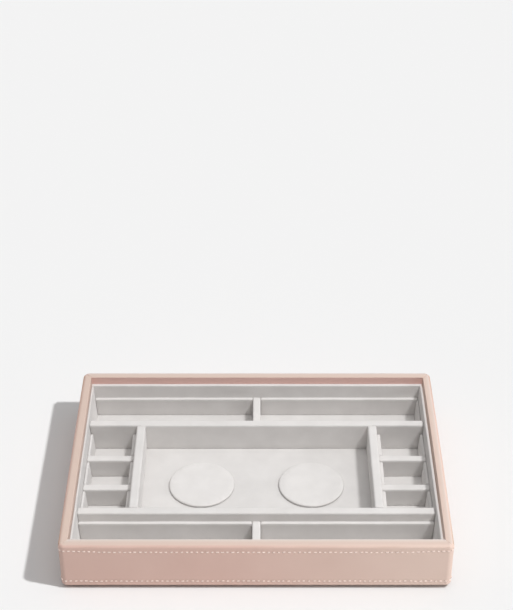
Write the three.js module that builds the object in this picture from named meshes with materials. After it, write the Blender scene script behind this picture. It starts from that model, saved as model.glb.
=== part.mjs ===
// A stacking bracelet tray, in millimetres, +Z up, standing on Z = 0 with its middle at X = Y = 0.
// A board box is wrapped in blush leatherette and lined with pale grey velvet over card.
// Velvet dividers make two long rows, a column of small cells at each end and a wide middle well,
// where two raised round pads hold bracelets in shape. An inset plinth underneath drops into the
// rim of another tray.
import * as THREE from 'three';

// Overall size, over the leatherette.
const trayLength = 252;
const trayDepth = 181;
const trayHeight = 36.5;

// Every glued joint keeps this much room for its glue.
const glueLine = 0.1;

// Board box and its leatherette wrap.
const boardThickness = 4.6;
const boardCornerCut = 3;
const baseThickness = 1.3;
const coverThickness = 0.8;
const rimRounding = 1.3;
const hemRounding = 0.5;

// Plinth under the base, and the felt it stands on. Together they hold the wrap's hem off the table.
const plinthDrop = 2.8;
const plinthInset = 7.6;
const feltThickness = 0.6;
const feltMargin = 0.8;

// Velvet lining: the walls stop below the rim, so that the next tray's plinth drops in. The end walls
// lean, with their feet further in than their tops by the given amount.
const floorThickness = 0.6;
const liningThickness = 2.7;
const endLiningThickness = 1.5;
const endLean = 1.6;
const stackingRecess = 5.6;
const liningRounding = 0.8;

// Tall dividers. The rows run along the back and front, the columns along the left and right ends.
const dividerThickness = 6.2;
const dividerHeight = 21.4;
const dividerRounding = 1.2;
const rearRowDepth = 34.3;
const frontRowDepth = 32;
const columnWidth = 33.7;

// Low partitions between neighbouring cells, and low rails along each cell's sides, flush on top.
// The rails of the rows are cut nearly square at their ends, the shorter ones of the columns are rounded.
// A column's cells are named from the front, and a partition after the cell that it closes.
const railHeight = 14.8;
const railThickness = 2.7;
const outerRailThickness = 1.9;
const rowRailRounding = 1;
const columnRailRounding = 2.6;
const railSoftness = 0.7;
const endRailThickness = 1.2;
const partitionThickness = 5.6;
const partitionRounding = 1;
const columnCells = ['front', 'middle', 'rear'];

// Round pads in the well. They sit a little behind its middle.
const padDiameter = 46;
const padHeight = 2.6;
const padCrown = 0.5;
const padEdgeBulge = 1.7;
const padGap = 29.5;
const padSetback = 2.6;

// Steps in a quarter round, in a pad's side, in its crown and around it.
const roundSteps = 5;
const padSideSteps = 8;
const padCrownSteps = 5;
const padTurnSteps = 56;

// Levels, from the table up.
const plinthBottom = feltThickness + glueLine;
const wrapBottom = plinthDrop;
const baseBottom = wrapBottom + coverThickness + glueLine;
const plinthTop = baseBottom - glueLine;
const baseTop = baseBottom + baseThickness;
const boardBottom = baseTop + glueLine;
const boardTop = trayHeight - coverThickness - glueLine;
const floorTop = boardBottom + floorThickness;
const standingLevel = floorTop + glueLine;
const liningTop = trayHeight - stackingRecess;
const dividerTop = floorTop + dividerHeight;
const railTop = floorTop + railHeight;

// Distances in from the outer face.
const hemEdge = plinthInset - glueLine;
const boardOuter = coverThickness + glueLine;
const boardInner = boardOuter + boardThickness;
const rimWidth = boardInner + glueLine + coverThickness;
const liningOuter = rimWidth + glueLine;
const liningInner = liningOuter + liningThickness;
const endLiningInner = liningOuter + endLiningThickness;

// Half spans of the room inside the frame and inside the lining.
const frameHalfLength = trayLength / 2 - liningOuter;
const frameHalfDepth = trayDepth / 2 - liningOuter;
const roomHalfLength = trayLength / 2 - endLiningInner;
const roomHalfDepth = trayDepth / 2 - liningInner;

// Faces of the dividers.
const columnInner = roomHalfLength - columnWidth;
const wellHalfLength = columnInner - dividerThickness;
const rearDividerBack = roomHalfDepth - rearRowDepth;
const wellBack = rearDividerBack - dividerThickness;
const frontDividerFront = -roomHalfDepth + frontRowDepth;
const wellFront = frontDividerFront + dividerThickness;

// What lies further out than the middle of a column belongs to an end.
const endsBegin = columnInner + columnWidth / 2;

function leatherette() {
  return new THREE.MeshStandardMaterial({ color: 0xdcbcb0, roughness: 0.55, metalness: 0 });
}

function velvet() {
  return new THREE.MeshStandardMaterial({ color: 0xe0dcd8, roughness: 0.95, metalness: 0 });
}

function fibreboard() {
  return new THREE.MeshStandardMaterial({ color: 0xb8966c, roughness: 0.85, metalness: 0 });
}

function felt() {
  return new THREE.MeshStandardMaterial({ color: 0xbdb6b1, roughness: 1, metalness: 0 });
}

function named(name, geometry, material) {
  const mesh = new THREE.Mesh(geometry, material);
  mesh.name = name;
  return mesh;
}

// A flat board that fills a box given by its low and high limits on each axis.
function slabGeometry({ x, y, z }) {
  const slab = new THREE.BoxGeometry(x[1] - x[0], y[1] - y[0], z[1] - z[0]);
  slab.translate((x[0] + x[1]) / 2, (y[0] + y[1]) / 2, (z[0] + z[1]) / 2);
  return slab;
}

// The limits of a span that is centred on the tray and keeps the given half width.
function centred(half) {
  return [-half, half];
}

// An upright outline, flat at the foot, with both top corners rounded.
function roundTopped(width, height, radius) {
  const half = width / 2;
  const outline = new THREE.Shape();
  outline.moveTo(-half, 0);
  outline.lineTo(half, 0);
  outline.lineTo(half, height - radius);
  outline.absarc(half - radius, height - radius, radius, 0, Math.PI / 2);
  outline.lineTo(-half + radius, height);
  outline.absarc(-half + radius, height - radius, radius, Math.PI / 2, Math.PI);
  outline.closePath();
  return outline;
}

// Turns an upright extrusion into the tray's frame, with its run along X or Y, and stands it in its box.
function stand(geometry, run, { x, y, z }) {
  geometry.rotateX(Math.PI / 2);
  if (run === 'x') {
    geometry.rotateZ(Math.PI / 2);
  }
  geometry.translate((x[0] + x[1]) / 2, (y[0] + y[1]) / 2, z[0]);
  return geometry;
}

// Leans the end linings and all that meets them: a point near an end moves in by its depth below the
// lining's top. The backs of the linings, which stand against the wrap, stay upright.
function leaned(geometry) {
  const position = geometry.attributes.position;
  for (let i = 0; i < position.count; i += 1) {
    const x = position.getX(i);
    const reach = Math.abs(x);
    if (reach > endsBegin && reach < frameHalfLength - glueLine) {
      const below = (liningTop - position.getZ(i)) / (liningTop - standingLevel);
      position.setX(i, x - Math.sign(x) * endLean * below);
    }
  }
  return geometry;
}

// A velvet wall: a round-topped section carried along its run, 'x' or 'y', to fill its box.
function wall(name, run, box, rounding) {
  const { x, y, z } = box;
  const length = run === 'x' ? x[1] - x[0] : y[1] - y[0];
  const thickness = run === 'x' ? y[1] - y[0] : x[1] - x[0];
  const radius = Math.min(rounding, 0.45 * thickness);
  const section = roundTopped(thickness, z[1] - z[0], radius);
  const settings = { depth: length, bevelEnabled: false, curveSegments: roundSteps };
  const geometry = new THREE.ExtrudeGeometry(section, settings);
  geometry.translate(0, 0, -length / 2);
  return named(name, leaned(stand(geometry, run, box)), velvet());
}

// A velvet rail: its long face has rounded top ends, and the strip is as thick as its box with soft edges.
function rail(name, run, box, endRounding) {
  const { x, y, z } = box;
  const length = run === 'x' ? x[1] - x[0] : y[1] - y[0];
  const thickness = run === 'x' ? y[1] - y[0] : x[1] - x[0];
  const softness = Math.min(railSoftness, 0.4 * thickness);
  const face = roundTopped(length, z[1] - z[0], endRounding);
  const geometry = new THREE.ExtrudeGeometry(face, {
    depth: thickness - 2 * softness,
    bevelThickness: softness,
    bevelSize: softness,
    bevelOffset: -softness,
    bevelSegments: 2,
    curveSegments: roundSteps,
  });
  geometry.translate(0, 0, softness - thickness / 2);
  const across = run === 'x' ? 'y' : 'x';
  return named(name, leaned(stand(geometry, across, box)), velvet());
}

// A front or back board in plan, on side -1 or 1. Its outer corners are cut, so that the wrap can turn there.
function longBoardPlan(side, halfLength, innerFace, outerFace) {
  const plan = new THREE.Shape();
  plan.moveTo(-halfLength, side * innerFace);
  plan.lineTo(halfLength, side * innerFace);
  plan.lineTo(halfLength, side * (outerFace - boardCornerCut));
  plan.lineTo(halfLength - boardCornerCut, side * outerFace);
  plan.lineTo(-halfLength + boardCornerCut, side * outerFace);
  plan.lineTo(-halfLength, side * (outerFace - boardCornerCut));
  plan.closePath();
  return plan;
}

// The base board in plan, with all four corners cut in the same way.
function basePlan(halfLength, halfDepth) {
  const plan = new THREE.Shape();
  plan.moveTo(-halfLength + boardCornerCut, -halfDepth);
  plan.lineTo(halfLength - boardCornerCut, -halfDepth);
  plan.lineTo(halfLength, -halfDepth + boardCornerCut);
  plan.lineTo(halfLength, halfDepth - boardCornerCut);
  plan.lineTo(halfLength - boardCornerCut, halfDepth);
  plan.lineTo(-halfLength + boardCornerCut, halfDepth);
  plan.lineTo(-halfLength, halfDepth - boardCornerCut);
  plan.lineTo(-halfLength, -halfDepth + boardCornerCut);
  plan.closePath();
  return plan;
}

// A plan raised from one level to another.
function raised(plan, [bottom, top]) {
  const geometry = new THREE.ExtrudeGeometry(plan, { depth: top - bottom, bevelEnabled: false });
  geometry.translate(0, 0, bottom);
  return geometry;
}

// Board box: the base carries the front and back boards, and the end boards fit between those two.
function boardBox() {
  const group = new THREE.Group();
  const outerX = trayLength / 2 - boardOuter;
  const outerY = trayDepth / 2 - boardOuter;
  const innerX = trayLength / 2 - boardInner;
  const innerY = trayDepth / 2 - boardInner;
  const endY = centred(innerY - glueLine);
  const z = [boardBottom, boardTop];
  const base = raised(basePlan(outerX, outerY), [baseBottom, baseTop]);
  const front = raised(longBoardPlan(-1, outerX, innerY, outerY), z);
  const back = raised(longBoardPlan(1, outerX, innerY, outerY), z);
  const left = slabGeometry({ x: [-outerX, -innerX], y: endY, z });
  const right = slabGeometry({ x: [innerX, outerX], y: endY, z });
  group.add(named('base_board', base, fibreboard()));
  group.add(named('front_board', front, fibreboard()));
  group.add(named('back_board', back, fibreboard()));
  group.add(named('left_board', left, fibreboard()));
  group.add(named('right_board', right, fibreboard()));
  return group;
}

// The cover's section: up the outer face, over the rim, down the inner face, and turned under the base.
// Its first coordinate runs in from the outer face, its second up from the table.
function coverSection() {
  const rimInside = rimWidth - coverThickness;
  const rimUnderside = trayHeight - coverThickness;
  const hemTop = wrapBottom + coverThickness;
  const roundLevel = trayHeight - rimRounding;
  const section = new THREE.Shape();
  section.moveTo(hemEdge, wrapBottom);
  section.lineTo(hemEdge, hemTop);
  section.lineTo(coverThickness, hemTop);
  section.lineTo(coverThickness, rimUnderside);
  section.lineTo(rimInside, rimUnderside);
  section.lineTo(rimInside, boardBottom);
  section.lineTo(rimWidth, boardBottom);
  section.lineTo(rimWidth, roundLevel);
  section.absarc(rimWidth - rimRounding, roundLevel, rimRounding, 0, Math.PI / 2);
  section.lineTo(rimRounding, trayHeight);
  section.absarc(rimRounding, roundLevel, rimRounding, Math.PI / 2, Math.PI);
  section.lineTo(0, wrapBottom + hemRounding);
  section.absarc(hemRounding, wrapBottom + hemRounding, hemRounding, Math.PI, 1.5 * Math.PI);
  section.closePath();
  return section;
}

// One side's cover, made as the front one: the section runs along X, and both ends are cut to a mitre.
function coverGeometry(sideLength, sideDistance) {
  const settings = { depth: 1, bevelEnabled: false, curveSegments: roundSteps };
  const geometry = new THREE.ExtrudeGeometry(coverSection(), settings);
  const position = geometry.attributes.position;
  for (let i = 0; i < position.count; i += 1) {
    const inwards = position.getX(i);
    const level = position.getY(i);
    const end = position.getZ(i) > 0 ? 1 : -1;
    const halfRun = sideLength / 2 - inwards - glueLine;
    position.setXYZ(i, end * halfRun, inwards - sideDistance, level);
  }
  return geometry;
}

function wrap() {
  const group = new THREE.Group();
  const sides = [
    { name: 'front_cover', length: trayLength, distance: trayDepth / 2, turn: 0 },
    { name: 'right_cover', length: trayDepth, distance: trayLength / 2, turn: Math.PI / 2 },
    { name: 'back_cover', length: trayLength, distance: trayDepth / 2, turn: Math.PI },
    { name: 'left_cover', length: trayDepth, distance: trayLength / 2, turn: -Math.PI / 2 },
  ];
  for (const { name, length, distance, turn } of sides) {
    const mesh = named(name, coverGeometry(length, distance), leatherette());
    mesh.rotation.z = turn;
    group.add(mesh);
  }
  return group;
}

// Underside: an inset plinth, a board covered in velvet, glued to the base inside the turned hems,
// with felt under it.
function underside() {
  const group = new THREE.Group();
  const halfX = trayLength / 2 - plinthInset;
  const halfY = trayDepth / 2 - plinthInset;
  const plinth = slabGeometry({ x: centred(halfX), y: centred(halfY), z: [plinthBottom, plinthTop] });
  const sheet = slabGeometry({
    x: centred(halfX - feltMargin),
    y: centred(halfY - feltMargin),
    z: [0, feltThickness],
  });
  group.add(named('stacking_plinth', plinth, velvet()));
  group.add(named('plinth_felt', sheet, felt()));
  return group;
}

// Lining: a floor panel on the base, and four walls that stand on it against the covers' inner faces.
function lining() {
  const group = new THREE.Group();
  const floor = slabGeometry({
    x: centred(frameHalfLength),
    y: centred(frameHalfDepth),
    z: [boardBottom, floorTop],
  });
  const z = [standingLevel, liningTop];
  const longX = centred(frameHalfLength);
  const endY = centred(roomHalfDepth - glueLine);
  const frontBox = { x: longX, y: [-frameHalfDepth, -roomHalfDepth], z };
  const backBox = { x: longX, y: [roomHalfDepth, frameHalfDepth], z };
  const leftBox = { x: [-frameHalfLength, -roomHalfLength], y: endY, z };
  const rightBox = { x: [roomHalfLength, frameHalfLength], y: endY, z };
  group.add(named('floor_lining', floor, velvet()));
  group.add(wall('front_lining', 'x', frontBox, liningRounding));
  group.add(wall('back_lining', 'x', backBox, liningRounding));
  group.add(wall('left_lining', 'y', leftBox, liningRounding));
  group.add(wall('right_lining', 'y', rightBox, liningRounding));
  return group;
}

// Tall dividers: two long ones across the whole room, and two short ones between them.
function dividers() {
  const group = new THREE.Group();
  const z = [standingLevel, dividerTop];
  const longX = centred(roomHalfLength - glueLine);
  const shortY = [wellFront + glueLine, wellBack - glueLine];
  const rearBox = { x: longX, y: [wellBack, rearDividerBack], z };
  const frontBox = { x: longX, y: [frontDividerFront, wellFront], z };
  const leftBox = { x: [-columnInner, -wellHalfLength], y: shortY, z };
  const rightBox = { x: [wellHalfLength, columnInner], y: shortY, z };
  group.add(wall('rear_divider', 'x', rearBox, dividerRounding));
  group.add(wall('front_divider', 'x', frontBox, dividerRounding));
  group.add(wall('left_divider', 'y', leftBox, dividerRounding));
  group.add(wall('right_divider', 'y', rightBox, dividerRounding));
  return group;
}

// The limits of a strip glued to a face, growing in the given direction.
function against(face, direction, thickness) {
  const near = face + direction * glueLine;
  const far = near + direction * thickness;
  return direction > 0 ? [near, far] : [far, near];
}

// A row along the back or front: one partition in the middle, and in each of its two cells a rail on each
// long side. The right cell of the rear row also has a thin rail at its end.
function row(prefix, frontFace, backFace) {
  const group = new THREE.Group();
  const z = [standingLevel, railTop];
  const backStrip = against(backFace, -1, railThickness);
  const frontStrip = against(frontFace, 1, railThickness);
  const partitionHalf = partitionThickness / 2;
  const across = [frontFace + glueLine, backFace - glueLine];
  const partitionBox = { x: centred(partitionHalf), y: across, z };
  group.add(wall(`${prefix}_row_partition`, 'y', partitionBox, partitionRounding));
  const near = partitionHalf + glueLine;
  const far = roomHalfLength - glueLine;
  const cells = { left: [-far, -near], right: [near, far] };
  for (const [cell, x] of Object.entries(cells)) {
    group.add(rail(`${prefix}_${cell}_back_rail`, 'x', { x, y: backStrip, z }, rowRailRounding));
    group.add(rail(`${prefix}_${cell}_front_rail`, 'x', { x, y: frontStrip, z }, rowRailRounding));
  }
  if (prefix === 'rear') {
    const endStrip = against(roomHalfLength, -1, endRailThickness);
    const between = [frontStrip[1] + glueLine, backStrip[0] - glueLine];
    const endBox = { x: endStrip, y: between, z };
    group.add(rail(`${prefix}_right_end_rail`, 'y', endBox, columnRailRounding));
  }
  return group;
}

// A column at one end, on side -1 or 1: cells at equal spaces with a partition between each two,
// and in each cell a rail on its outer and its inner side.
function column(prefix, side) {
  const group = new THREE.Group();
  const z = [standingLevel, railTop];
  const outerFace = side * roomHalfLength;
  const innerFace = side * columnInner;
  const outerStrip = against(outerFace, -side, outerRailThickness);
  const innerStrip = against(innerFace, side, railThickness);
  const [leftFace, rightFace] = side < 0 ? [outerFace, innerFace] : [innerFace, outerFace];
  const across = [leftFace + glueLine, rightFace - glueLine];
  const partitionCount = columnCells.length - 1;
  const cellDepth = (wellBack - wellFront - partitionCount * partitionThickness) / columnCells.length;
  for (const [i, cell] of columnCells.entries()) {
    const cellFront = wellFront + i * (cellDepth + partitionThickness);
    const cellBack = cellFront + cellDepth;
    const y = [cellFront + glueLine, cellBack - glueLine];
    group.add(rail(`${prefix}_${cell}_outer_rail`, 'y', { x: outerStrip, y, z }, columnRailRounding));
    group.add(rail(`${prefix}_${cell}_inner_rail`, 'y', { x: innerStrip, y, z }, columnRailRounding));
    if (i < partitionCount) {
      const box = { x: across, y: [cellBack, cellBack + partitionThickness], z };
      group.add(wall(`${prefix}_${cell}_partition`, 'x', box, partitionRounding));
    }
  }
  return group;
}

// A pad's outline from its axis: flat underneath, a side that swells and draws in again, and a low crown.
function padOutline() {
  const shoulder = padDiameter / 2 - padEdgeBulge;
  const sideHalf = (padHeight - padCrown) / 2;
  const points = [new THREE.Vector2(0, 0)];
  for (let i = 0; i <= padSideSteps; i += 1) {
    const angle = Math.PI * (i / padSideSteps - 0.5);
    const out = shoulder + padEdgeBulge * Math.cos(angle);
    points.push(new THREE.Vector2(out, sideHalf * (1 + Math.sin(angle))));
  }
  for (let i = padCrownSteps - 1; i > 0; i -= 1) {
    const share = i / padCrownSteps;
    const rise = padCrown * (1 - share * share);
    points.push(new THREE.Vector2(shoulder * share, 2 * sideHalf + rise));
  }
  points.push(new THREE.Vector2(0, padHeight));
  return points;
}

function pads() {
  const group = new THREE.Group();
  const middleY = (wellFront + wellBack) / 2 + padSetback;
  const offset = (padDiameter + padGap) / 2;
  const places = { left_bracelet_pad: -offset, right_bracelet_pad: offset };
  for (const [name, x] of Object.entries(places)) {
    const geometry = new THREE.LatheGeometry(padOutline(), padTurnSteps);
    geometry.rotateX(Math.PI / 2);
    const mesh = named(name, geometry, velvet());
    mesh.position.set(x, middleY, standingLevel);
    group.add(mesh);
  }
  return group;
}

const tray = new THREE.Group();
tray.add(underside());
tray.add(boardBox());
tray.add(wrap());
tray.add(lining());
tray.add(dividers());
tray.add(row('rear', rearDividerBack, roomHalfDepth));
tray.add(row('front', -roomHalfDepth, frontDividerFront));
tray.add(column('left_column', -1));
tray.add(column('right_column', 1));
tray.add(pads());

export default tray;
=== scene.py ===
# %% [markdown]
# # A stacking bracelet tray
# The tray is a thin board box, wrapped in blush leatherette and lined with pale grey velvet over
# card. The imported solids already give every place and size, in metres, so the lesson starts by
# loading them. Each later step replaces some plain solids with a surface worked out by a formula,
# in the same place, and gives it a finish.

import math

import bmesh
import bpy
import numpy as np
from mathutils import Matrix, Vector


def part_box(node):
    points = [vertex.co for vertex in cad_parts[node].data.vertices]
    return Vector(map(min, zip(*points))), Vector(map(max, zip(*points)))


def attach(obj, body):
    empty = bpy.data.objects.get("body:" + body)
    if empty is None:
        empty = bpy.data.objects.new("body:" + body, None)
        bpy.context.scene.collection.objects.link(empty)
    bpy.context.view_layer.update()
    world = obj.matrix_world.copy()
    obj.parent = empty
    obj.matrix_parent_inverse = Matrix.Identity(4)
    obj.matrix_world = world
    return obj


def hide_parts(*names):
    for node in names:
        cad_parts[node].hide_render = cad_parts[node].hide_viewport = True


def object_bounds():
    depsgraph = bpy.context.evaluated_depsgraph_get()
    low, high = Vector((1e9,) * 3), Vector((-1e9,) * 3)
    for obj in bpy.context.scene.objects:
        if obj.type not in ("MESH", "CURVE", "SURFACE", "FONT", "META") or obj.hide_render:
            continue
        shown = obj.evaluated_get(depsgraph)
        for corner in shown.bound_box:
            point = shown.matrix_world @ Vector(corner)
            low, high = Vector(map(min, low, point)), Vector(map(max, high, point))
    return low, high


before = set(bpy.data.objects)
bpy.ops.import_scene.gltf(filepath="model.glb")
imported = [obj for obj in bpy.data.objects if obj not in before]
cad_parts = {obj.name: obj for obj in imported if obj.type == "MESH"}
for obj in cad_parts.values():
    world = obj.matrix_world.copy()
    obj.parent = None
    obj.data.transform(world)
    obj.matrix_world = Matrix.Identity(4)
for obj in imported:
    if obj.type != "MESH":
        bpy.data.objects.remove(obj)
cad_low, cad_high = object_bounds()
MM = 0.001
scene = bpy.context.scene
print("solids:", len(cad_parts), "box in mm:", [round(s / MM, 1) for s in cad_high - cad_low])

# %% [markdown]
# ## Camera
# The picture was taken from the front with a long lens, looking down at about 35 degrees. The rim's
# four corners and the foot are enough to work such a camera out: their true places are known, and
# only one place, tilt and lens put them all where the picture has them. A long lens is used because
# it keeps the tray's sides nearly parallel. The camera stands a little to the right of the middle, and a
# small shift of the lens, not a turn, brings the tray back: its long edges stay level that way.

# %% Camera
CAMERA_PLACE = (0.0031, -0.7955, 0.7180)
CAMERA_TILT = math.radians(54.92)
SENSOR_WIDTH = 36.0
LENS = 90.71
FRAMING_SHIFT = -0.0074
camera_data = bpy.data.cameras.new("studio_camera")
camera_data.sensor_width = SENSOR_WIDTH
camera_data.lens = LENS
camera_data.shift_x = FRAMING_SHIFT
camera = bpy.data.objects.new("studio_camera", camera_data)
camera.location = CAMERA_PLACE
camera.rotation_euler = (CAMERA_TILT, 0.0, 0.0)
scene.collection.objects.link(camera)
scene.camera = camera
scene.view_settings.view_transform = "Standard"
print("camera looks down by", round(90 - math.degrees(CAMERA_TILT), 1), "degrees")

# %% [markdown]
# ## Floor and light
# A product table is plain white, lit by one lamp high on the right and by a white room that is
# brightest overhead. A lamp at a real distance throws shorter shadows at the near end of the tray than
# at the far end, which a sun lamp cannot do. On the floor such a lamp would also fade, where the picture
# is even. Light linking solves this: the key lamp lights only the tray, and a second lamp, whose strength
# grows with the distance just as much as its light would fade, lights only the floor. The rim is left out
# of what blocks the key lamp, because the top of the lining just inside it is lit in the picture. A wide
# soft box overhead fills the shadows in the cells, and two low lamps do the work of white cards: one in
# front lifts the outer skin, more at the right end, and one on the right lifts the faces turned to it.
# Levels are written as what a white card would read, so that 1 is paper white.

# %% Nodes, and the floor
def set_inputs(tree, node, values):
    """Each named input of a node takes a value, or a link where another node's output is given."""
    for socket, value in values.items():
        if isinstance(value, bpy.types.NodeSocket):
            tree.links.new(value, node.inputs[socket])
        else:
            node.inputs[socket].default_value = value


def add_node(tree, kind, values=None):
    """A new node of one kind, with some of its inputs set or linked."""
    node = tree.nodes.new(kind)
    set_inputs(tree, node, values or {})
    return node


FLOOR_HALF = 6.0
FLOOR_GREY = 0.898
floor_mesh = bpy.data.meshes.new("studio_floor")
floor_corners = FLOOR_HALF * np.array([[-1, -1, 0], [1, -1, 0], [1, 1, 0], [-1, 1, 0]])
floor_mesh.from_pydata(floor_corners.tolist(), [], [[0, 1, 2, 3]])
floor = bpy.data.objects.new("studio_floor", floor_mesh)
scene.collection.objects.link(floor)
floor_paint = bpy.data.materials.new("studio_white")
floor_paint.use_nodes = True
floor_tree = floor_paint.node_tree
floor_shader = add_node(floor_tree, "ShaderNodeBsdfDiffuse", {"Color": (FLOOR_GREY,) * 3 + (1.0,)})
set_inputs(floor_tree, floor_tree.nodes["Material Output"], {"Surface": floor_shader.outputs["BSDF"]})
floor_mesh.materials.append(floor_paint)
print("floor is", 2 * FLOOR_HALF, "m wide")

# %% World: soft light that grows with the height it comes from, seen as white
def map_range(tree, value, from_min=0.0, from_max=1.0, to_min=0.0, to_max=1.0):
    """A number carried from one range to another, and held at its ends."""
    node = add_node(tree, "ShaderNodeMapRange", {
        "Value": value, "From Min": from_min, "From Max": from_max, "To Min": to_min, "To Max": to_max})
    return node.outputs["Result"]


def maths(tree, operation, *numbers):
    """What one operation makes of one or two numbers."""
    node = add_node(tree, "ShaderNodeMath", dict(enumerate(numbers)))
    node.operation = operation
    return node.outputs[0]


AMBIENT_LEVEL = 0.45
ROOM_LOW = 0.06
CLIMB_FROM = 0.4
WHITE = (1.0, 1.0, 1.0, 1.0)
# The level climbs with the sine of the height, from one sine up to the zenith. A level card weighs the
# room by twice that sine, so it reads the lowest level plus this share of the climb.
climb_share = (2 - CLIMB_FROM - CLIMB_FROM**2) / 3
room_high = ROOM_LOW + (AMBIENT_LEVEL - ROOM_LOW) / climb_share
world = bpy.data.worlds.new("white_room")
world.use_nodes = True
scene.world = world
world_tree = world.node_tree
view_to = add_node(world_tree, "ShaderNodeTexCoord")
heading = add_node(world_tree, "ShaderNodeSeparateXYZ", {"Vector": view_to.outputs["Generated"]})
climb = map_range(world_tree, heading.outputs["Z"], CLIMB_FROM, 1.0, ROOM_LOW, room_high)
room_light = world_tree.nodes["Background"]
set_inputs(world_tree, room_light, {"Color": WHITE, "Strength": climb})
room_seen = add_node(world_tree, "ShaderNodeBackground", {"Color": WHITE, "Strength": FLOOR_GREY})
light_path = add_node(world_tree, "ShaderNodeLightPath")
seen = light_path.outputs["Is Camera Ray"]
for ray in ("Is Glossy Ray", "Is Transmission Ray"):
    seen = maths(world_tree, "MAXIMUM", seen, light_path.outputs[ray])
choice = add_node(world_tree, "ShaderNodeMixShader", {
    "Fac": seen, 1: room_light.outputs[0], 2: room_seen.outputs[0]})
set_inputs(world_tree, world_tree.nodes["World Output"], {"Surface": choice.outputs[0]})
print("room light from", ROOM_LOW, "to", round(room_high, 3))

# %% Lamps, each linked to what it lights
def linked_lamp(name, kind, receivers, place):
    """A lamp in its place that lights only the objects of one collection."""
    lamp = bpy.data.objects.new(name, bpy.data.lights.new(name, kind))
    lamp.location = place
    lamp.light_linking.receiver_collection = receivers
    scene.collection.objects.link(lamp)
    return lamp


LINKED = ("tray_pieces", "blocking_pieces", "skin_pieces", "floor_pieces")
tray_pieces, blocking_pieces, skin_pieces, floor_pieces = map(bpy.data.collections.new, LINKED)
floor_pieces.objects.link(floor)
print("collections to link lamps to:", LINKED)

# %% Key lamp
KEY_LEVEL = 0.41
KEY_PLACE = Vector((1.27, -0.88, 3.0))
KEY_SIZE = 0.19
key_lamp = linked_lamp("key_lamp", "POINT", tray_pieces, KEY_PLACE)
key_lamp.light_linking.blocker_collection = blocking_pieces
key_lamp.data.shadow_soft_size = KEY_SIZE
# A level card gets the power over four pi times the distance squared, times the cosine of the slant, which
# is the height over the distance, and reads that over pi.
key_lamp.data.energy = KEY_LEVEL * 4 * math.pi**2 * KEY_PLACE.length**3 / KEY_PLACE.z
print("key lamp", round(key_lamp.data.energy, 1), "W at", round(KEY_PLACE.length, 2), "m")

# %% Floor lamp, as strong at any distance
FLOOR_LEVEL = 1.0 - AMBIENT_LEVEL
FLOOR_LAMP_PLACE = Vector((0.81, -0.309, 1.307))
FLOOR_LAMP_SIZE = 0.04
floor_lamp = linked_lamp("floor_lamp", "POINT", floor_pieces, FLOOR_LAMP_PLACE)
floor_lamp.data.shadow_soft_size = FLOOR_LAMP_SIZE
# A constant falloff undoes the fading with the distance squared, and one more distance undoes the slant.
floor_lamp.data.energy = FLOOR_LEVEL * 4 * math.pi**2 / FLOOR_LAMP_PLACE.z
floor_lamp.data.use_nodes = True
lamp_tree = floor_lamp.data.node_tree
steady = add_node(lamp_tree, "ShaderNodeLightFalloff", {"Strength": 1.0})
lamp_path = add_node(lamp_tree, "ShaderNodeLightPath")
grown = maths(lamp_tree, "MULTIPLY", steady.outputs["Constant"], lamp_path.outputs["Ray Length"])
set_inputs(lamp_tree, lamp_tree.nodes["Emission"], {"Strength": grown})
print("floor lamp", round(floor_lamp.data.energy, 2), "W")

# %% Soft box overhead, and two low cards
SOFT_BOX_LEVEL = 0.097
SOFT_BOX_PLACE = Vector((0.3, -0.3, 1.4))
SOFT_BOX_SIZE = 1.0
FRONT_LEVEL = 0.14
FRONT_PLACE = Vector((0.46, -0.42, 0.05))
SIDE_LEVEL = 0.13
SIDE_PLACE = Vector((0.9, -0.1, 0.4))
CARD_SIZE = 0.20


def disk_lamp(name, receivers, place, target, facing, level, size):
    """A wide round lamp aimed at a target. A surface there gets the lamp's power over pi times the distance
    squared, times the cosine of the slant, and reads that over pi again."""
    beam = place - target
    lamp = linked_lamp(name, "AREA", receivers, place)
    lamp.rotation_euler = beam.to_track_quat("Z", "Y").to_euler()
    lamp.data.shape = "DISK"
    lamp.data.size = size
    lamp.data.energy = level * math.pi**2 * beam.length_squared / beam.normalized().dot(facing)
    print(name, round(lamp.data.energy, 2), "W at", round(beam.length, 2), "m")
    return lamp


front_middle = Vector((0.0, cad_low.y, (cad_low.z + cad_high.z) / 2))
upwards = Vector((0, 0, 1))
forwards = Vector((0, -1, 0))
rightwards = Vector((1, 0, 0))
disk_lamp("soft_box", tray_pieces, SOFT_BOX_PLACE, Vector(), upwards, SOFT_BOX_LEVEL, SOFT_BOX_SIZE)
cards = [
    disk_lamp("front_card", skin_pieces, FRONT_PLACE, front_middle, forwards, FRONT_LEVEL, CARD_SIZE),
    disk_lamp("side_card", tray_pieces, SIDE_PLACE, Vector(), rightwards, SIDE_LEVEL, CARD_SIZE),
]
# The skin's own colour would be thrown on the floor by the cards, so their light ends where it falls.
for card in cards:
    card.data.cycles.max_bounces = 0

# %% [markdown]
# ## Velvet
# The lining is a short-pile velvet. Its pile leans a little in all directions, so it shows soft
# patches where it was brushed, and it looks paler at grazing angles, because light catches the tips
# of the pile. A very rough shader with some sheen gives the paler edge, slow noise gives the brushed
# patches, and a fine bump gives the pile itself. All of it reads Object coordinates, in metres, so
# the pile has its real scale of a few tenths of a millimetre. Its colour also carries painted shade:
# below a given height, on the floor and on the low walls of the cells, it is only a share as bright,
# and darker still at the back of the small cells and round the foot of the pads.

# %% Tools for finishes
NOISE_MIDDLE = (0.3, 0.7)


def start_finish(name):
    """A new node material: its node tree, its shader, and Object coordinates to read patterns from."""
    material = bpy.data.materials.new(name)
    material.use_nodes = True
    tree = material.node_tree
    place = add_node(tree, "ShaderNodeTexCoord").outputs["Object"]
    return material, tree, tree.nodes["Principled BSDF"], place


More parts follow.
